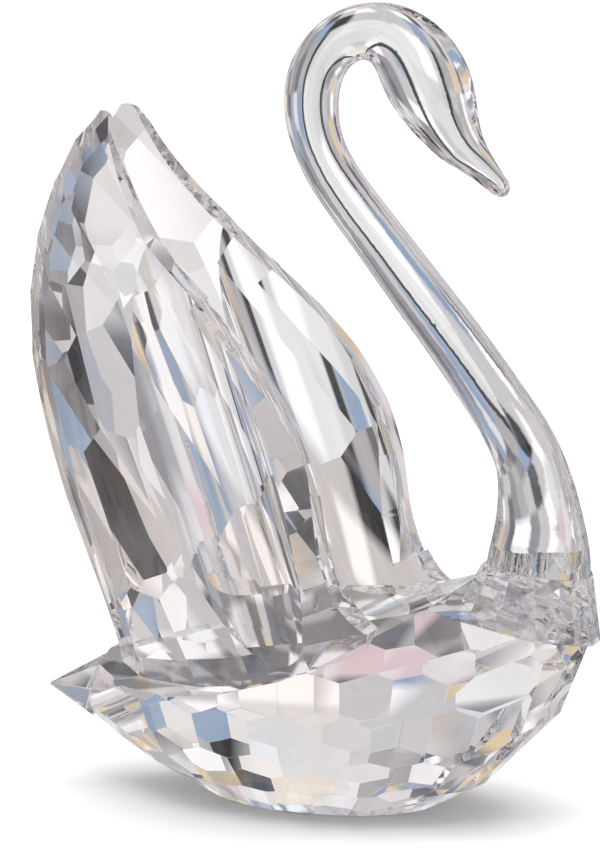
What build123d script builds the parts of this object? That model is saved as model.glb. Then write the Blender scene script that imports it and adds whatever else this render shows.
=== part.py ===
from build123d import *
import os
from math import cos, radians, sin, sqrt
from numpy import interp

# Cut crystal swan on a flat foot, glued up from five pieces of glass.
# Frame: millimetres, +X toward the breast, +Y the swan's left, +Z up.
# The origin lies on the table plane, at the middle of the foot.

# ---- glass body: a boat shape, the hull of three egg-shaped swells ----
body_centre = (-0.6, 0.0, 14.0)
body_half_length = 25.2
body_half_width = 15.5
body_half_height = 16.0
breast_centre = (22.2, 0.0, 21.0)
breast_half_length = 7.9
breast_half_width = 8.8
breast_half_height = 7.0
rump_centre = (-26.0, 0.0, 11.0)
rump_half_length = 3.8
rump_half_width = 3.8
rump_half_height = 4.4
facets_around_body = 22
body_facet_rows = (-68.0, -50.0, -32.0, -14.0, 4.0, 22.0)
facets_around_breast = 6
breast_facet_rows = (-40.0, -5.0)
facets_around_rump = 5
rump_facet_rows = (-35.0, 5.0)
end_facet_spread = 150.0

# ---- saddle between the wings and the neck ----
saddle_lowest_x = 5.5
saddle_lowest_z = 23.4
saddle_radius = 27.0

# ---- sloping seats that carry the wings (right-hand seat, mirrored) ----
seat_point = (-9.0, -14.5, 14.6)
seat_side_tilt = 28.0
seat_rear_tilt = 18.5
ridge_flat = 5.0

# ---- seam faces of the neck and of the tail ----
neck_seam_point = (22.6, 0.0, 22.9)
neck_seam_tilt = 16.0
tail_seam_point = (-27.4, 0.0, 11.0)
tail_seam_tilt = 70.0
tail_tip_point = (-34.4, 0.0, 10.3)
tail_half_width = 3.5
tail_half_height = 4.0
tail_facets = 8

# ---- glue films ----
film = 0.15

# ---- wings: cupped leaves standing on the seats ----
wing_swell = 17.6
wing_swell_x = -5.0
wing_swell_z = 36.0
wing_radius_across = 30.0
wing_radius_along = 84.0
wing_lean = 21.0
hollow_swell = 11.7
hollow_swell_x = 2.0
hollow_swell_z = 38.0
hollow_radius_across = 60.0
hollow_radius_along = 135.0
hollow_lean = 40.0
scoop_radius = 10.0
scoop_foot = (-1.5, 24.0)
scoop_foot_depth = 1.1
scoop_top = (-14.5, 60.0)
scoop_top_depth = 0.5

# Side outline of a wing, as (x, z): up the leading edge, over the tip, down the trailing edge.
leading_edge = [
    (9.6, 22.8), (6.2, 26.4), (4.5, 31.0), (3.6, 37.0), (1.8, 43.0), (-1.4, 48.6),
    (-5.6, 53.4), (-10.4, 58.0), (-15.6, 62.8), (-20.2, 68.4),
]
wing_tip = [(-24.4, 76.6), (-25.5, 77.6), (-26.7, 77.1)]
# the bulging part of the leading edge, which gets rim facets
front_rim = leading_edge[1:8]
trailing_edge = [
    (-29.4, 74.0), (-32.2, 68.4), (-34.0, 62.4), (-34.5, 56.0), (-33.8, 49.4),
    (-31.8, 42.0), (-28.9, 34.0), (-25.7, 26.4), (-23.0, 17.6),
]
wing_root_depth = 12.0
wings_apart = 0.5

# ---- long facets ground over both faces of a wing, and the narrow ones along its rims ----
facet_field_centre = (-13.0, 46.0)
outer_facet_rows = 4
outer_facet_length = 18.0
outer_facet_columns = 6
outer_facet_width = 7.2
inner_facet_rows = 3
inner_facet_length = 26.0
inner_facet_columns = 7
inner_facet_width = 7.0
rear_rim_width = 3.2
rear_rim_depth = 1.3
front_rim_width = 2.4
front_rim_depth = 1.2
inner_rim_width = 2.6
inner_rim_depth = 1.0
wheel_size = 12.0
wheel_overrun = 0.5

# ---- neck and head: centre line (x, z), with the section's depth and breadth there ----
neck_stations = [
    (24.3, 25.0, 12.0, 12.2), (24.7, 30.0, 11.3, 11.4), (24.4, 36.2, 8.9, 9.0),
    (23.2, 41.0, 7.4, 7.6), (20.2, 46.0, 6.8, 6.9), (15.3, 52.6, 6.5, 6.5),
    (10.1, 59.0, 6.2, 6.2), (4.8, 65.5, 5.8, 6.0), (1.0, 70.3, 5.6, 6.0),
    (-1.2, 74.2, 5.7, 6.0), (-2.1, 78.0, 6.0, 6.1), (-1.9, 81.4, 6.1, 6.2),
    (-0.6, 84.3, 5.9, 6.2), (1.7, 86.4, 5.9, 6.2), (4.4, 87.2, 6.3, 6.4),
    (7.0, 86.7, 7.4, 6.8), (9.3, 85.0, 9.0, 7.4), (11.1, 82.5, 9.8, 7.7),
    (12.5, 79.9, 9.0, 7.4), (13.9, 77.3, 7.2, 6.3), (15.5, 75.0, 5.2, 5.1),
]
# the bill runs on straight from the face, flat and round-ended
bill_length = 7.2
bill_pitch = 45.0
bill_depth = 2.3
bill_breadth = 3.6
neck_sections = 36
# share of the bill's length, and how far it has narrowed from the face's size to the bill's size
bill_taper = [(0.25, 0.45), (0.5, 0.75), (0.75, 1.0)]
bill_round_share = 0.25
bill_round_angles = (30.0, 55.0, 75.0, 88.0)

# ---- faceted collar at the root of the neck ----
collar_foot_centre = (22.3, 0.0, 22.0)
collar_foot_half_length = 7.4
collar_foot_half_width = 8.1
collar_top_centre = (24.6, 0.0, 28.2)
collar_top_half_length = 5.9
collar_top_half_width = 6.0
collar_roundness = 2.4
collar_height = 6.4
collar_top_tilt = 11.0
facets_around_collar = 14
collar_facet_rows = (6.0, 24.0, 52.0)

blank_size = 140.0


def egg_normal(half_sizes, around, up):
    """Outward normal of an egg at its angle around the vertical and its angle up from the waist."""
    a, b, c = half_sizes
    n = Vector(
        cos(radians(up)) * cos(radians(around)) / a,
        cos(radians(up)) * sin(radians(around)) / b,
        sin(radians(up)) / c,
    )
    return n.normalized()


def egg_reach(centre, half_sizes, n):
    """How far an egg reaches from the origin along the direction n."""
    a, b, c = half_sizes
    return Vector(*centre).dot(n) + sqrt((a * n.X) ** 2 + (b * n.Y) ** 2 + (c * n.Z) ** 2)


def grind(solid, point, n):
    """Grind one flat facet: what lies beyond the plane through point with normal n is removed."""
    return solid.split(Plane(origin=point, z_dir=n), keep=Keep.BOTTOM)


def grind_eggs(solid, eggs, directions):
    """Grind facets that touch the hull of the given eggs, one for each direction."""
    for n in directions:
        reach = max(egg_reach(centre, half_sizes, n) for centre, half_sizes in eggs)
        solid = grind(solid, n * reach, n)
    return solid


def rows_of_facets(half_sizes, rows, count, middle=0.0, spread=360.0):
    """Facet directions in rows around an egg, each row shifted half a facet from the last."""
    step = spread / count
    found = []
    for row, up in enumerate(rows):
        shifted = row % 2
        if spread < 360.0:
            turns = [middle + step * (index - (count - shifted - 1) / 2) for index in range(count - shifted)]
        else:
            turns = [middle + step * (index + shifted / 2) for index in range(count)]
        found += [egg_normal(half_sizes, around, up) for around in turns]
    return found


def seat_normal(side):
    """Upward normal of the wing seat on the given side: -1 right, +1 left."""
    leaning = Vector(0, 0, 1).rotate(Axis.X, -side * seat_side_tilt)
    return leaning.rotate(Axis.Y, -seat_rear_tilt)


def seat_plane(side, lift=0.0):
    """Plane of the wing seat on the given side, raised by lift along its normal."""
    n = seat_normal(side)
    corner = Vector(seat_point[0], -side * seat_point[1], seat_point[2])
    return Plane(origin=corner + n * lift, z_dir=n)


def neck_seam(lift=0.0):
    """Plane where the neck stands on the breast, raised by lift."""
    n = Vector(sin(radians(neck_seam_tilt)), 0, cos(radians(neck_seam_tilt)))
    return Plane(origin=Vector(*neck_seam_point) + n * lift, z_dir=n)


def tail_seam(lift=0.0):
    """Plane where the tail tip is glued on, moved outward by lift."""
    n = Vector(-sin(radians(tail_seam_tilt)), 0, cos(radians(tail_seam_tilt)))
    return Plane(origin=Vector(*tail_seam_point) + n * lift, z_dir=n)


def body():
    """Glass body: faceted hull, flat foot, smooth saddle, two wing seats and two seam faces."""
    barrel = (body_half_length, body_half_width, body_half_height)
    breast = (breast_half_length, breast_half_width, breast_half_height)
    rump = (rump_half_length, rump_half_width, rump_half_height)
    eggs = [(body_centre, barrel), (breast_centre, breast), (rump_centre, rump)]
    directions = rows_of_facets(barrel, body_facet_rows, facets_around_body)
    directions += rows_of_facets(breast, breast_facet_rows, facets_around_breast, 0.0, end_facet_spread)
    directions += rows_of_facets(rump, rump_facet_rows, facets_around_rump, 180.0, end_facet_spread)
    solid = grind_eggs(Box(blank_size, blank_size, blank_size), eggs, directions)
    solid = grind(solid, Vector(0, 0, 0), Vector(0, 0, -1))
    for side in (-1, 1):
        plane = seat_plane(side)
        solid = grind(solid, plane.origin, plane.z_dir)
    solid = grind(solid, *ridge_facet())
    for plane in (neck_seam(), tail_seam()):
        solid = grind(solid, plane.origin, plane.z_dir)
    roller = Cylinder(saddle_radius, blank_size, rotation=(90, 0, 0))
    solid -= Pos(saddle_lowest_x, 0, saddle_lowest_z + saddle_radius) * roller
    return solid.solid()


def ridge_facet():
    """Facet that takes off the ridge where the two wing seats meet, ridge_flat wide."""
    n = Vector(0, 0, 1).rotate(Axis.Y, -seat_rear_tilt)
    right = seat_plane(-1)
    along = -right.z_dir.Y * (-ridge_flat / 2 - right.origin.Y) / right.z_dir.Z
    return Vector(right.origin.X, 0, right.origin.Z + along), n


def leaf_height(swell, x0, z0, across, along, lean, x, z):
    """Half-width of a leaf surface at (x, z), and its slopes toward x and z."""
    s = sin(radians(lean))
    c = cos(radians(lean))
    u = c * (x - x0) + s * (z - z0)
    v = -s * (x - x0) + c * (z - z0)
    height = swell - u * u / (2 * across) - v * v / (2 * along)
    slope_x = -c * u / across + s * v / along
    slope_z = -s * u / across - c * v / along
    return height, slope_x, slope_z


def outer_leaf(x, z):
    """Outer surface of the left wing: half-width and slopes at (x, z)."""
    return leaf_height(
        wing_swell, wing_swell_x, wing_swell_z, wing_radius_across, wing_radius_along, wing_lean, x, z
    )


def inner_leaf(x, z):
    """Inner surface of the left wing: half-width and slopes at (x, z)."""
    return leaf_height(
        hollow_swell, hollow_swell_x, hollow_swell_z,
        hollow_radius_across, hollow_radius_along, hollow_lean, x, z,
    )


def leaf_point(leaf, x, z):
    """Point of a leaf surface at (x, z), and its outward normal there."""
    height, slope_x, slope_z = leaf(x, z)
    return Vector(x, height, z), Vector(-slope_x, 1, -slope_z).normalized()


def leaf_grid(lean, rows, length, columns, width):
    """Facet centres over a leaf, in rows up its leaning length, alternate rows shifted."""
    x0, z0 = facet_field_centre
    s = sin(radians(lean))
    c = cos(radians(lean))
    found = []
    for row in range(rows):
        v = (row - (rows - 1) / 2) * length
        for column in range(columns):
            u = (column - (columns - 1) / 2 + 0.5 * (row % 2) - 0.25) * width
            found.append((x0 + c * u - s * v, z0 + s * u + c * v))
    return found


def grind_leaf(solid, leaf, centres):
    """Grind one facet tangent to the leaf surface at each centre."""
    for x, z in centres:
        point, n = leaf_point(leaf, x, z)
        solid = grind(solid, point, n)
    return solid


def rim_facet(leaf, start, end, width, depth, side):
    """Point, normal, direction and length of the rim facet that follows the outline from start to end."""
    (x0, z0), (x1, z1) = start, end
    run = Vector(x1 - x0, 0, z1 - z0)
    outward = Vector(0, 1, 0).cross(run.normalized())
    inner_x = (x0 + x1) / 2 - outward.X * width
    inner_z = (z0 + z1) / 2 - outward.Z * width
    point, n = leaf_point(leaf, inner_x, inner_z)
    return point, (n * side * width + outward * depth).normalized(), run.normalized(), run.length


def grind_rear_rim(solid):
    """Grind narrow facets along the rear rim of the left wing, one for each run of its outline."""
    outline = wing_tip[-1:] + trailing_edge
    for start, end in zip(outline, outline[1:]):
        point, n, _, _ = rim_facet(outer_leaf, start, end, rear_rim_width, rear_rim_depth, 1)
        solid = grind(solid, point, n)
    return solid


def grind_front_rim(solid, leaf, width, depth, side):
    """Grind facets along the front rim with a narrow wheel, which leaves the rest of the wing alone."""
    for start, end in zip(front_rim, front_rim[1:]):
        point, n, run, length = rim_facet(leaf, start, end, width, depth, side)
        wheel = Pos(0, 0, wheel_size / 2) * Box(length + 2 * wheel_overrun, wheel_size, wheel_size)
        solid = (solid - Plane(origin=point, x_dir=run, z_dir=n) * wheel).solid()
    return solid


def wing_outline():
    """Side outline of a wing: smooth leading and trailing edges, a round tip and a straight root."""
    front = Spline(*leading_edge, wing_tip[0])
    tip = ThreePointArc(*wing_tip)
    back = Spline(wing_tip[-1], *trailing_edge)
    rear_root = (trailing_edge[-1][0], wing_root_depth)
    front_root = (leading_edge[0][0], wing_root_depth)
    root = Polyline(trailing_edge[-1], rear_root, front_root, leading_edge[0])
    return Plane.XZ * make_face([front, tip, back, root])


def scoop():
    """Long round wheel track that hollows the outer front of the left wing."""
    ends = []
    for (x, z), depth in ((scoop_foot, scoop_foot_depth), (scoop_top, scoop_top_depth)):
        point, n = leaf_point(outer_leaf, x, z)
        ends.append(point + n * (scoop_radius - depth))
    along = (ends[1] - ends[0]).normalized()
    middle = (ends[0] + ends[1]) / 2
    return Plane(origin=middle, z_dir=along) * Cylinder(scoop_radius, blank_size)


def left_wing():
    """Left wing: leaf outline, faceted outside with one smooth scoop, long facets inside, bevelled rims."""
    blank = Pos(0, wings_apart, 0) * extrude(wing_outline(), amount=-2 * wing_swell)
    field = leaf_grid(
        wing_lean, outer_facet_rows, outer_facet_length, outer_facet_columns, outer_facet_width
    )
    solid = grind_leaf(blank, outer_leaf, field)
    cutter = Pos(0, -blank_size / 4, facet_field_centre[1]) * Box(blank_size, blank_size, blank_size)
    field = leaf_grid(
        hollow_lean, inner_facet_rows, inner_facet_length, inner_facet_columns, inner_facet_width
    )
    solid -= grind_leaf(cutter, inner_leaf, field)
    solid = (solid - scoop()).solid()
    solid = grind_rear_rim(solid)
    solid = grind_front_rim(solid, outer_leaf, front_rim_width, front_rim_depth, 1)
    solid = grind_front_rim(solid, inner_leaf, inner_rim_width, inner_rim_depth, -1)
    plane = seat_plane(1, film)
    return grind(solid, plane.origin, -plane.z_dir).solid()


def glue_film(piece, plane):
    """Film that fills the gap between a piece's seam face and the face it is glued to."""
    seam = [f for f in piece.faces() if abs((f.center() - plane.origin).dot(plane.z_dir)) < film / 10]
    films = [extrude(f, amount=film, dir=-plane.z_dir) for f in seam]
    return films[0].solid() if len(films) == 1 else Compound(children=[f.solid() for f in films])


def neck_sections_along():
    """Elliptical sections of the neck, head and bill, each square to the centre line."""
    last_depth, last_breadth = neck_stations[-1][2:]
    forward = Vector(cos(radians(bill_pitch)), 0, -sin(radians(bill_pitch)))
    centres = [Vector(x, 0, z) for x, z, _, _ in neck_stations]
    line = Spline(*centres)
    shares = [line.param_at_point(centre) for centre in centres]
    depths = [station[2] for station in neck_stations]
    breadths = [station[3] for station in neck_stations]
    sections = []
    for index in range(neck_sections):
        share = index / (neck_sections - 1)
        depth = float(interp(share, shares, depths))
        breadth = float(interp(share, shares, breadths))
        sections.append((line @ share, line % share, depth, breadth))
    for share, narrowing in bill_taper:
        depth = last_depth + narrowing * (bill_depth - last_depth)
        breadth = last_breadth + narrowing * (bill_breadth - last_breadth)
        sections.append((centres[-1] + forward * bill_length * share, forward, depth, breadth))
    for angle in bill_round_angles:
        share = 1 - bill_round_share + bill_round_share * sin(radians(angle))
        narrow = cos(radians(angle))
        place = centres[-1] + forward * bill_length * share
        sections.append((place, forward, bill_depth * narrow, bill_breadth * narrow))
    return sections


def collar():
    """Faceted root of the neck, the hull of two flat eggs, from the breast to the smooth neck."""
    foot = (collar_foot_half_length, collar_foot_half_width, collar_roundness)
    top = (collar_top_half_length, collar_top_half_width, collar_roundness)
    steep = (collar_foot_half_length, collar_foot_half_width, collar_height)
    directions = rows_of_facets(steep, collar_facet_rows, facets_around_collar)
    blank = Pos(*collar_foot_centre) * Box(blank_size, blank_size, blank_size)
    solid = grind_eggs(blank, [(collar_foot_centre, foot), (collar_top_centre, top)], directions)
    flat = Vector(sin(radians(collar_top_tilt)), 0, cos(radians(collar_top_tilt)))
    seam = neck_seam(film)
    solid = grind(solid, Vector(*neck_seam_point) + seam.z_dir * collar_height, flat)
    return grind(solid, seam.origin, -seam.z_dir)


def neck_and_head():
    """Drawn-glass neck with its hooked head and bill, on the faceted collar."""
    profiles = []
    for place, along, depth, breadth in neck_sections_along():
        plane = Plane(origin=place, x_dir=along.cross(Vector(0, 1, 0)), z_dir=along)
        profiles.append(plane * Ellipse(depth / 2, breadth / 2))
    return (collar() + loft(profiles)).solid()


def tail_tip():
    """Faceted point of the tail, a pyramid from the tail seam to the tip."""
    plane = tail_seam(film)
    tip = Vector(*tail_tip_point)
    solid = Pos(*tail_tip_point) * Box(blank_size, blank_size, blank_size)
    for index in range(tail_facets):
        angle = radians(360 / tail_facets * (index + 0.5))
        edge = plane.x_dir * tail_half_height * cos(angle) + plane.y_dir * tail_half_width * sin(angle)
        along = plane.x_dir * -sin(angle) * tail_half_height + plane.y_dir * cos(angle) * tail_half_width
        n = along.cross(tip - plane.origin - edge).normalized()
        n = n if n.dot(edge) > 0 else n * -1
        solid = grind(solid, tip, n)
    return grind(solid, plane.origin, -plane.z_dir)


def swan():
    """All pieces of the swan, by name."""
    right = Plane.XZ
    wing = left_wing()
    neck = neck_and_head()
    tail = tail_tip()
    wing_film = glue_film(wing, seat_plane(1, film))
    return {
        "body": body(),
        "left_wing": wing,
        "right_wing": mirror(wing, about=right),
        "neck_and_head": neck,
        "tail_tip": tail,
        "left_wing_bond": wing_film,
        "right_wing_bond": mirror(wing_film, about=right),
        "neck_bond": glue_film(neck, neck_seam(film)),
        "tail_bond": glue_film(tail, tail_seam(film)),
    }


os.makedirs("parts", exist_ok=True)
for name, piece in swan().items():
    export_step(piece, f"parts/{name}.step")
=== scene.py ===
import math
import bpy
import numpy as np
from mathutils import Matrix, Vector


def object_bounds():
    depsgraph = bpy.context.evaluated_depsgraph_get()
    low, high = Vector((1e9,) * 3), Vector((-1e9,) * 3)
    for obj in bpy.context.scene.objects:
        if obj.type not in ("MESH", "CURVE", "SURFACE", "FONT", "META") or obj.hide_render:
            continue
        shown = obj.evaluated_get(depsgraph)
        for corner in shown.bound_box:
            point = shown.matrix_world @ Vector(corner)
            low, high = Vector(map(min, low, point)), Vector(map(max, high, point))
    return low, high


# %% [markdown]
# # A cut-crystal swan
# The swan is five pieces of clear glass glued together: a boat-shaped body, two raised wings, a drawn neck
# with its head, and a small tail point. A cutter grinds each flat facet on a wheel, so the exact shape of
# the glass is the design itself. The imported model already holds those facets, so this script keeps its
# pieces and gives them what a polisher and a studio give: fine edges, clear crystal, light and a floor.
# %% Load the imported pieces
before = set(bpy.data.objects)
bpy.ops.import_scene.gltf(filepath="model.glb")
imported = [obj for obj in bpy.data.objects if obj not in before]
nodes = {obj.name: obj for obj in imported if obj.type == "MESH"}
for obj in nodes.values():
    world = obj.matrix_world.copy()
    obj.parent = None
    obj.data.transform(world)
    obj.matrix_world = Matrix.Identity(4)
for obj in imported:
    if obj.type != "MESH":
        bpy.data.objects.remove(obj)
cad_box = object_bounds()
MM = 1000.0
LOW = np.array(cad_box[0])
HIGH = np.array(cad_box[1])
TABLE = float(LOW[2])
HEIGHT = float(HIGH[2] - LOW[2])
print("pieces:", ", ".join(sorted(nodes)))
print("size in mm:", np.round((HIGH - LOW) * MM, 1))

# %% [markdown]
# ## Camera
# A small piece of glass is shown through a long lens from some way off, which keeps lines that are parallel
# on the piece nearly parallel in the picture. The camera stands ahead of the swan's right side and looks a
# little down. Its place could be typed as three coordinates, but it is worked out from two angles and a
# distance, which are easier to adjust.
# %% Camera
CAMERA_AZIMUTH = math.radians(20.0)
CAMERA_ELEVATION = math.radians(11.0)
CAMERA_DISTANCE = 0.55
LENS = 207.0
SENSOR_HEIGHT = 36.0
AIM = np.array([-0.0035, 0.0, 0.0425])


def toward_camera():
    """Unit vector from the swan to the camera, (sin a cos e, -cos a cos e, sin e)."""
    a = CAMERA_AZIMUTH
    e = CAMERA_ELEVATION
    return np.array([math.sin(a) * math.cos(e), -math.cos(a) * math.cos(e), math.sin(e)])


def add_camera():
    """A camera that looks at AIM from CAMERA_DISTANCE away."""
    data = bpy.data.cameras.new("camera")
    data.sensor_fit = "VERTICAL"
    data.sensor_height = SENSOR_HEIGHT
    data.lens = LENS
    camera = bpy.data.objects.new("camera", data)
    camera.location = AIM + CAMERA_DISTANCE * toward_camera()
    camera.rotation_euler = (math.pi / 2 - CAMERA_ELEVATION, 0.0, CAMERA_AZIMUTH)
    bpy.context.scene.collection.objects.link(camera)
    bpy.context.scene.camera = camera
    return camera


camera = add_camera()
print("camera at", np.round(camera.location, 3))

# %% [markdown]
# ## Clear crystal
# Lead-free crystal is denser than window glass: light bends by an index of about 1.56 in it, which is why
# the facets sparkle. A Glass shader would do, but the Principled shader with full transmission does the same
# and also keeps its settings when the model is exported, so it is used here.
# %% Material helpers
CRYSTAL_IOR = 1.56


def new_material(name):
    """A material with an output and one Principled shader, returned with its node tree."""
    material = bpy.data.materials.new(name)
    material.use_nodes = True
    tree = material.node_tree
    tree.nodes.clear()
    output = tree.nodes.new("ShaderNodeOutputMaterial")
    shader = tree.nodes.new("ShaderNodeBsdfPrincipled")
    tree.links.new(shader.outputs["BSDF"], output.inputs["Surface"])
    return material, tree, shader


def add_ramp(tree, source, stops):
    """A colour ramp fed by source, with (place, colour) stops. A new ramp starts with two marks."""
    ramp = tree.nodes.new("ShaderNodeValToRGB")
    marks = ramp.color_ramp.elements
    for index, (place, colour) in enumerate(stops):
        mark = marks[index] if index < len(marks) else marks.new(place)
        mark.position = place
        mark.color = (*colour, 1.0)
    tree.links.new(source, ramp.inputs["Fac"])
    return ramp.outputs["Color"]


def clear_glass(name, ior):
    """Clear transmitting glass with a polished surface."""
    material, tree, shader = new_material(name)
    shader.inputs["Roughness"].default_value = 0.0
    shader.inputs["IOR"].default_value = ior
    shader.inputs["Transmission Weight"].default_value = 1.0
    shader.inputs["Base Color"].default_value = (1.0, 1.0, 1.0, 1.0)
    return material, tree, shader


print("crystal bends light by", CRYSTAL_IOR)

# %% [markdown]
# ## Painted fire in the cut crystal
# Cut crystal splits white light, so each flat facet flashes a faint colour: cool, warm or faintly pink. That
# is light, not a colour of the glass. Splitting light in the renderer would take a ray for each colour.
# Instead, the fire is painted into the glass's base colour as a tint, and a soft noise picks the tint. A
# flat facet faces one way all over, so noise read at the direction it faces gives the whole facet one tint.
# The direction is an attribute of the piece, which a node group stores on its faces further down. The neck
# is drawn while hot and has no facets, so its glass only has a very soft flow of tint along it.
# %% Cut crystal and drawn crystal
FACING = "facing"
# Painted dispersion fire: the noise scale and detail, then the tints laid into the cut crystal's base
# colour.
PAINTED_FIRE_VARIETY = 3.4
PAINTED_FIRE_DETAIL = 1.0
PAINTED_FIRE_TINTS = [
    (0.30, (0.89, 0.93, 0.985)), (0.42, (0.975, 0.975, 0.985)), (0.52, (0.99, 0.98, 0.975)),
    (0.60, (0.98, 0.94, 0.945)), (0.68, (0.985, 0.94, 0.86)),
]
FLOW_FINENESS = 60.0
FLOW_DETAIL = 2.0
FLOW_TINTS = [(0.35, (0.975, 0.98, 0.99)), (0.65, (1.0, 0.995, 0.995))]


def paint_fire_tints(tree, shader):
    """Painted fire: base colour from noise at the face's stored direction, so one flat facet has one faint
    tint.
    """
    facing = tree.nodes.new("ShaderNodeAttribute")
    facing.attribute_name = FACING
    noise = tree.nodes.new("ShaderNodeTexNoise")
    noise.inputs["Scale"].default_value = PAINTED_FIRE_VARIETY
    noise.inputs["Detail"].default_value = PAINTED_FIRE_DETAIL
    tree.links.new(facing.outputs["Vector"], noise.inputs["Vector"])
    tree.links.new(add_ramp(tree, noise.outputs["Fac"], PAINTED_FIRE_TINTS), shader.inputs["Base Color"])


def flow_tints(tree, shader):
    """Base colour from soft noise in the object's own place, for drawn glass with no facets."""
    place = tree.nodes.new("ShaderNodeTexCoord")
    noise = tree.nodes.new("ShaderNodeTexNoise")
    noise.inputs["Scale"].default_value = FLOW_FINENESS
    noise.inputs["Detail"].default_value = FLOW_DETAIL
    tree.links.new(place.outputs["Object"], noise.inputs["Vector"])
    tree.links.new(add_ramp(tree, noise.outputs["Fac"], FLOW_TINTS), shader.inputs["Base Color"])


cut_crystal, cut_tree, cut_shader = clear_glass("cut_crystal", CRYSTAL_IOR)
# The cut crystal's base colour carries the painted fire, one faint tint per facet.
paint_fire_tints(cut_tree, cut_shader)
drawn_crystal, drawn_tree, drawn_shader = clear_glass("drawn_crystal", CRYSTAL_IOR)
flow_tints(drawn_tree, drawn_shader)
print("crystals:", cut_crystal.name, "and", drawn_crystal.name)

# %% [markdown]
# ## Glue
# The glue is a clear resin cured by light, chosen to bend light almost as the crystal does, so a good joint
# vanishes: light goes from one piece into the next as if they were one. In a renderer the two faces of a
# joint would act as mirrors with a gap between them. An index of 1, which bends and mirrors nothing, on the
# film and on the glass faces that touch it lets light cross the joint. A very faint flow in the tint stands
# for resin that set a little unevenly.
# %% Cured glue
MATCHED_IOR = 1.0
cured_glue, glue_tree, glue_shader = clear_glass("cured_glue", MATCHED_IOR)
flow_tints(glue_tree, glue_shader)
print("materials:", ", ".join(m.name for m in bpy.data.materials))

# %% [markdown]
# ## Polished edges
# Ground facets meet in edges that polishing breaks very slightly, and those fine bright and dark lines are
# what the eye reads as cut glass. They could be cut into the model, but a Bevel of a few hundredths of a
# millimetre makes them along every edge at once. It needs joined faces, so a Weld comes first. Between the
# two, a small node group smooths only the faces that curve: facets stay flat, while the saddle, the scoops
# in the wings and the drawn neck turn smooth. The same group stores which way each face looks.
# %% Rule for smooth and flat faces
FACET_LIMIT = math.radians(5.5)
ROUND_LIMIT = math.radians(13.0)
EDGE_WIDTH = 0.00006
WELD_REACH = 1e-6


def new_group(name):
    """An empty geometry node group with its two ends."""
    group = bpy.data.node_groups.new(name, "GeometryNodeTree")
    group.interface.new_socket("Geometry", in_out="INPUT", socket_type="NodeSocketGeometry")
    group.interface.new_socket("Geometry", in_out="OUTPUT", socket_type="NodeSocketGeometry")
    return group, group.nodes.new("NodeGroupInput"), group.nodes.new("NodeGroupOutput")


def store_facing(group, geometry):
    """Keep the direction of each face in an attribute, for the painted fire tints to read."""
    normal = group.nodes.new("GeometryNodeInputNormal")
    store = group.nodes.new("GeometryNodeStoreNamedAttribute")
    store.data_type = "FLOAT_VECTOR"
    store.domain = "FACE"
    store.inputs["Name"].default_value = FACING
    group.links.new(normal.outputs["Normal"], store.inputs["Value"])
    group.links.new(geometry, store.inputs["Geometry"])
    return store.outputs["Geometry"]


def smoothing_rule(name, limit):
    """Node group: every face smooth, and every edge that turns by more than limit kept sharp."""
    group, start, end = new_group(name)
    facing = store_facing(group, start.outputs["Geometry"])
    angle = group.nodes.new("GeometryNodeInputMeshEdgeAngle")
    soft = group.nodes.new("FunctionNodeCompare")
    soft.operation = "LESS_THAN"
    soft.inputs["B"].default_value = limit
    faces = group.nodes.new("GeometryNodeSetShadeSmooth")
    faces.domain = "FACE"
    edges = group.nodes.new("GeometryNodeSetShadeSmooth")
    edges.domain = "EDGE"
    group.links.new(angle.outputs["Unsigned Angle"], soft.inputs["A"])
    group.links.new(facing, faces.inputs["Geometry"])
    group.links.new(faces.outputs["Geometry"], edges.inputs["Geometry"])
    group.links.new(soft.outputs["Result"], edges.inputs["Shade Smooth"])
    group.links.new(edges.outputs["Geometry"], end.inputs["Geometry"])
    return group


rules = {
    "facets": (smoothing_rule("facets_stay_flat", FACET_LIMIT), FACET_LIMIT),
    "round": (smoothing_rule("round_glass", ROUND_LIMIT), ROUND_LIMIT),
}
print("smoothing rules:", ", ".join(rules))

# %% [markdown]
# ## Where the glue touches the glass
# A wing, the neck and the tail each have one face that is glued. Picking those faces by hand would break as
# soon as a seat moves, so a node group measures instead: a face whose middle lies on the film is glued, and
# takes the second material, which lets light through unbent. The body's own seats stay crystal.
# %% Rule for the faces that are glued
ON_THE_FILM = 0.00002


def joint_rule(film):
    """Node group: a face whose middle lies on the glue film takes the second material slot."""
    group, start, end = new_group("joint_at_" + film.name)
    info = group.nodes.new("GeometryNodeObjectInfo")
    info.inputs["Object"].default_value = film
    near = group.nodes.new("GeometryNodeProximity")
    near.target_element = "FACES"
    close = group.nodes.new("FunctionNodeCompare")
    close.operation = "LESS_THAN"
    close.inputs["B"].default_value = ON_THE_FILM
    choose = group.nodes.new("GeometryNodeSetMaterialIndex")
    choose.inputs["Material Index"].default_value = 1
    group.links.new(info.outputs["Geometry"], near.inputs[0])
    group.links.new(near.outputs["Distance"], close.inputs["A"])
    group.links.new(close.outputs["Result"], choose.inputs["Selection"])
    group.links.new(start.outputs["Geometry"], choose.inputs["Geometry"])
    group.links.new(choose.outputs["Geometry"], end.inputs["Geometry"])
    return group


print("a glued face lies within", ON_THE_FILM * MM, "mm of its film")

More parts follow.
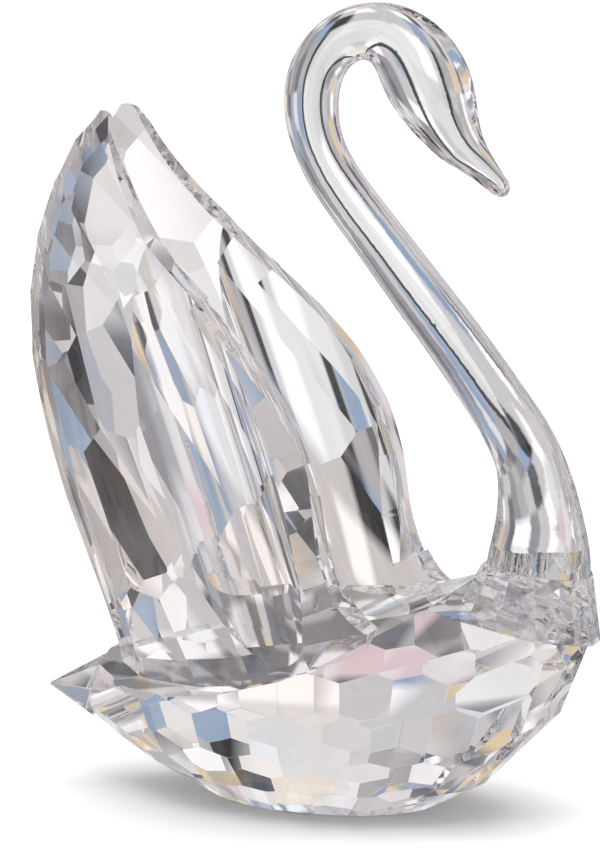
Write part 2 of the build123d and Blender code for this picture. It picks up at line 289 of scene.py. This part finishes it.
# %% [markdown]
# ## Finish each piece of glass
# The body, the wings and the tail are cut crystal, and the neck with its head is drawn crystal. One helper
# gives every piece its material and its modifiers in the same order, so no piece is finished by hand.
# %% Finish the glass pieces
def finish_glass(name, material, rule, film=None):
    """Give a piece its crystal, its clear joint face, its polished edges and its smoothing rule."""
    piece = nodes[name]
    piece.data.materials.clear()
    piece.data.materials.append(material)
    if film:
        piece.data.materials.append(cured_glue)
        glued = piece.modifiers.new("glued_face", "NODES")
        glued.node_group = joint_rule(nodes[film])
    weld = piece.modifiers.new("weld", "WELD")
    weld.merge_threshold = WELD_REACH
    group, limit = rules[rule]
    smooth = piece.modifiers.new("smooth", "NODES")
    smooth.node_group = group
    edges = piece.modifiers.new("polished_edges", "BEVEL")
    edges.width = EDGE_WIDTH
    edges.segments = 1
    edges.limit_method = "ANGLE"
    edges.angle_limit = limit
    edges.mark_sharp = True
    print(name, "has", len(piece.data.polygons), "triangles and the", rule, "rule")


finish_glass("body", cut_crystal, "facets")
finish_glass("left_wing", cut_crystal, "facets", "left_wing_bond")
finish_glass("right_wing", cut_crystal, "facets", "right_wing_bond")
finish_glass("tail_tip", cut_crystal, "facets", "tail_bond")
finish_glass("neck_and_head", drawn_crystal, "round", "neck_bond")

# %% [markdown]
# ## Finish the glue films
# Each film is a thin flat sheet of resin that fills its joint to the edge. It is already a solid of its own,
# so it only needs its material.
# %% Finish the glue films
for name in ("left_wing_bond", "right_wing_bond", "neck_bond", "tail_bond"):
    film = nodes[name]
    film.data.materials.clear()
    film.data.materials.append(cured_glue)
    print(name, "is", cured_glue.name)

# %% [markdown]
# ## Floor
# The swan stands on a wide sheet of pale paper that curves up far behind it, so no horizon shows. The sheet
# is one profile, a line, a quarter circle and a line, carried sideways. The curve stands well back, so the
# swan can be looked at from behind as well.
# %% Paper floor
PAPER_GAP = 0.0002
PAPER_FRONT = -3.0
PAPER_TOP = 3.0
PAPER_HALF_WIDTH = 3.0
CURVE_START = 2.4
CURVE_RADIUS = 0.6
CURVE_STEPS = 24
PAPER_COLOUR = (0.93, 0.94, 0.94, 1.0)
PAPER_ROUGHNESS = 0.9


def add_floor():
    """Paper: y and z follow r sin t and r (1 - cos t) between a level and an upright stretch."""
    turn = np.linspace(0.0, math.pi / 2, CURVE_STEPS)
    back = CURVE_START + CURVE_RADIUS
    y = np.concatenate([[PAPER_FRONT], CURVE_START + CURVE_RADIUS * np.sin(turn), [back]])
    z = np.concatenate([[0.0], CURVE_RADIUS * (1 - np.cos(turn)), [PAPER_TOP]]) + TABLE - PAPER_GAP
    width = np.array([-PAPER_HALF_WIDTH, 0.0, PAPER_HALF_WIDTH])
    verts = np.stack([np.repeat(width, len(y)), np.tile(y, len(width)), np.tile(z, len(width))], axis=1)
    i, j = np.meshgrid(np.arange(len(width) - 1), np.arange(len(y) - 1), indexing="ij")
    corner = (i * len(y) + j).ravel()
    quads = np.stack([corner, corner + len(y), corner + len(y) + 1, corner + 1], axis=1)
    mesh = bpy.data.meshes.new("floor")
    mesh.from_pydata(verts.tolist(), [], quads.tolist())
    mesh.shade_smooth()
    floor = bpy.data.objects.new("floor", mesh)
    bpy.context.scene.collection.objects.link(floor)
    material, _, shader = new_material("studio_paper")
    shader.inputs["Base Color"].default_value = PAPER_COLOUR
    shader.inputs["Roughness"].default_value = PAPER_ROUGHNESS
    floor.data.materials.append(material)
    return floor


floor = add_floor()
print("floor has", len(floor.data.polygons), "faces")

# %% [markdown]
# ## Cards round the glass
# Clear glass has no look of its own: it shows what stands round it, bent and flipped by every facet. On a
# bare white table it would vanish. A studio therefore builds a tent of white, grey and black card round it,
# and each facet picks one patch of card. The tent here is a sphere of such patches, cut off by the table.
# About one card in seven is amber, blue or pink, which adds to the faint fire painted on the facets. The
# camera looks through the tent and it throws no shadow, so only mirrored and bent light meets it. Four large
# soft lamps stand in it a quarter turn apart, the first straight behind the swan for this camera, each
# between two black strips. Seen from those four sides, the round neck shows a white core between thin dark
# lines.
# %% Tones of the cards
TENT_RADIUS = 0.45
TENT_MIDDLE = 0.45 * HEIGHT
CARD_LIFT = 0.0001
CARDS_AROUND = 44
CARDS_UP = 22
FINENESS = 8
EDGE_SHARPNESS = 5.0
CARD_TONES = np.array([
    (1.08, 1.06, 1.08), (0.80, 0.775, 0.785), (0.62, 0.595, 0.605), (0.46, 0.445, 0.46),
    (0.31, 0.30, 0.315), (0.17, 0.165, 0.18), (0.08, 0.08, 0.085), (0.015, 0.015, 0.018),
    (0.80, 0.62, 0.40), (0.30, 0.40, 0.56), (0.74, 0.58, 0.62),
])
CARD_SHARES = np.array([9, 15, 20, 19, 15, 11, 4, 2, 5, 6, 4], dtype=float)
LAMP_HALF_WIDTH = math.radians(12.0)
LAMP_FRAME = math.radians(3.5)
LAMP_TOP = math.radians(35.0)
LAMP_FOOT = math.radians(-12.0)
LAMP_TONE = np.array([1.1, 1.1, 1.1])
LAMP_COVER = 0.5
BLACK_STRIP = (0.03, 0.03, 0.032)
CARD_ORDER = 11


def blend_cards(grid, rows, columns):
    """Tone at fractional rows and columns: neighbours mixed by a weight that is steep at the card's edge."""
    i = np.clip(np.floor(rows).astype(int), 0, grid.shape[0] - 2)
    j = np.floor(columns).astype(int) % grid.shape[1]
    across = np.clip((columns - np.floor(columns) - 0.5) * EDGE_SHARPNESS + 0.5, 0.0, 1.0)[..., None]
    upward = np.clip((rows - i - 0.5) * EDGE_SHARPNESS + 0.5, 0.0, 1.0)[..., None]
    k = (j + 1) % grid.shape[1]
    low = grid[i, j] * (1 - across) + grid[i, k] * across
    high = grid[i + 1, j] * (1 - across) + grid[i + 1, k] * across
    return low * (1 - upward) + high * upward


def lamp_tones(tone, u, v):
    """Lay four soft lamps between black strips, a quarter turn apart, over the cards.

    A direction's angle off the nearest lamp is |(u - behind) wrapped into -45 to 45 degrees|.
    """
    behind = CAMERA_AZIMUTH + math.pi / 2
    off = np.abs((u - behind + math.pi / 4) % (math.pi / 2) - math.pi / 4)
    tall = (v > LAMP_FOOT) & (v < LAMP_TOP)
    inside = (off < LAMP_HALF_WIDTH) & tall
    framed = (off < LAMP_HALF_WIDTH + LAMP_FRAME) & tall & ~inside
    tone[framed] = BLACK_STRIP
    tone[inside] = tone[inside] * (1 - LAMP_COVER) + LAMP_TONE * LAMP_COVER
    return tone


def tent_tones(u, v):
    """Tone for each direction: seeded random cards with the lamps laid over them."""
    share = CARD_SHARES / CARD_SHARES.sum()
    order = np.random.default_rng(CARD_ORDER)
    draw = order.choice(len(CARD_TONES), size=(CARDS_UP + 1, CARDS_AROUND), p=share)
    rows = (v / math.pi + 0.5) * CARDS_UP
    columns = u / (2 * math.pi) * CARDS_AROUND
    return lamp_tones(blend_cards(CARD_TONES[draw], rows, columns), u, v)


print("cards:", CARDS_AROUND, "around and", CARDS_UP, "up, in", len(CARD_TONES), "tones")

# %% [markdown]
# ## The tent itself
# A ready-made sphere would reach through the table, so the tent is worked out on a grid of two angles, and
# each point stops at the sphere or at the table, whichever comes first. Every point carries its own tone as
# an attribute, and the material glows in that tone.
# %% The tent itself
def tent_material():
    """Glow in the card's own tone, read from the mesh."""
    material = bpy.data.materials.new("tent_cards")
    material.use_nodes = True
    tree = material.node_tree
    tree.nodes.clear()
    output = tree.nodes.new("ShaderNodeOutputMaterial")
    glow = tree.nodes.new("ShaderNodeEmission")
    tone = tree.nodes.new("ShaderNodeAttribute")
    tone.attribute_name = "tone"
    tree.links.new(tone.outputs["Color"], glow.inputs["Color"])
    tree.links.new(glow.outputs["Emission"], output.inputs["Surface"])
    return material


def add_tent():
    """Sphere of cards, cut off by the table.

    Points are middle + t (cos u cos v, sin u cos v, sin v). Upward t is the tent's radius, and downward t is
    the smaller of the radius and the drop to the table along that direction.
    """
    around_count = CARDS_AROUND * FINENESS
    up_count = CARDS_UP * FINENESS
    u, v = np.meshgrid(
        np.linspace(0.0, 2 * math.pi, around_count + 1), np.linspace(-math.pi / 2, math.pi / 2, up_count + 1)
    )
    direction = np.stack([np.cos(u) * np.cos(v), np.sin(u) * np.cos(v), np.sin(v)], axis=-1)
    drop = TENT_MIDDLE + CARD_LIFT
    downward = np.maximum(-direction[..., 2], drop / TENT_RADIUS)
    reach = np.minimum(drop / downward, TENT_RADIUS)
    verts = direction * reach[..., None] + np.array([0.0, 0.0, TABLE + TENT_MIDDLE])
    i, j = np.meshgrid(np.arange(up_count), np.arange(around_count), indexing="ij")
    corner = (i * (around_count + 1) + j).ravel()
    next_row = corner + around_count + 1
    quads = np.stack([corner, corner + 1, next_row + 1, next_row], axis=1)
    mesh = bpy.data.meshes.new("light_tent")
    mesh.from_pydata(verts.reshape(-1, 3).tolist(), [], quads.tolist())
    colour = np.ones((u.size, 4), dtype=np.float32)
    colour[:, :3] = tent_tones(u, v).reshape(-1, 3)
    attribute = mesh.attributes.new("tone", "FLOAT_COLOR", "POINT")
    attribute.data.foreach_set("color", colour.ravel())
    mesh.materials.append(tent_material())
    tent = bpy.data.objects.new("light_tent", mesh)
    tent.visible_camera = False
    tent.visible_shadow = False
    tent.visible_diffuse = False
    bpy.context.scene.collection.objects.link(tent)
    return tent


tent = add_tent()
print("tent has", len(tent.data.polygons), "faces")

# %% [markdown]
# ## Light on the paper
# One large soft lamp overhead and a white room light the paper. Together they leave only a soft grey
# shadow at each end of the foot, where the swan's hull hangs over the table.
# %% Lamp and room
OVERHEAD_SIZE = 1.1
OVERHEAD_POWER = 8.5
OVERHEAD_HEIGHT = 0.9
ROOM_STRENGTH = 0.82


def add_overhead_lamp():
    """A square soft lamp above the swan, pointing straight down."""
    data = bpy.data.lights.new("overhead", "AREA")
    data.shape = "SQUARE"
    data.size = OVERHEAD_SIZE
    data.energy = OVERHEAD_POWER
    lamp = bpy.data.objects.new("overhead", data)
    lamp.location = (0.0, 0.0, OVERHEAD_HEIGHT)
    lamp.visible_glossy = False
    lamp.visible_transmission = False
    bpy.context.scene.collection.objects.link(lamp)
    return lamp


def white_room():
    """An even white world."""
    world = bpy.data.worlds.new("white_room")
    world.use_nodes = True
    sky = world.node_tree.nodes["Background"]
    sky.inputs["Color"].default_value = (1.0, 1.0, 1.0, 1.0)
    sky.inputs["Strength"].default_value = ROOM_STRENGTH
    bpy.context.scene.world = world


lamp = add_overhead_lamp()
white_room()
print("overhead lamp of", lamp.data.energy, "W, white room at", ROOM_STRENGTH)

# %% [markdown]
# ## Ray bounces
# Inside cut crystal a ray may be mirrored many times before it leaves. Cycles stops after a few bounces
# and paints black what is left, so the limits are raised. The Standard view keeps the white paper white.
# %% Render limits and view
GLASS_BOUNCES = 32
MIRROR_BOUNCES = 16
scene = bpy.context.scene
scene.view_settings.view_transform = "Standard"
scene.cycles.max_bounces = GLASS_BOUNCES
scene.cycles.transmission_bounces = GLASS_BOUNCES
scene.cycles.glossy_bounces = MIRROR_BOUNCES
print("bounces allowed:", scene.cycles.max_bounces)
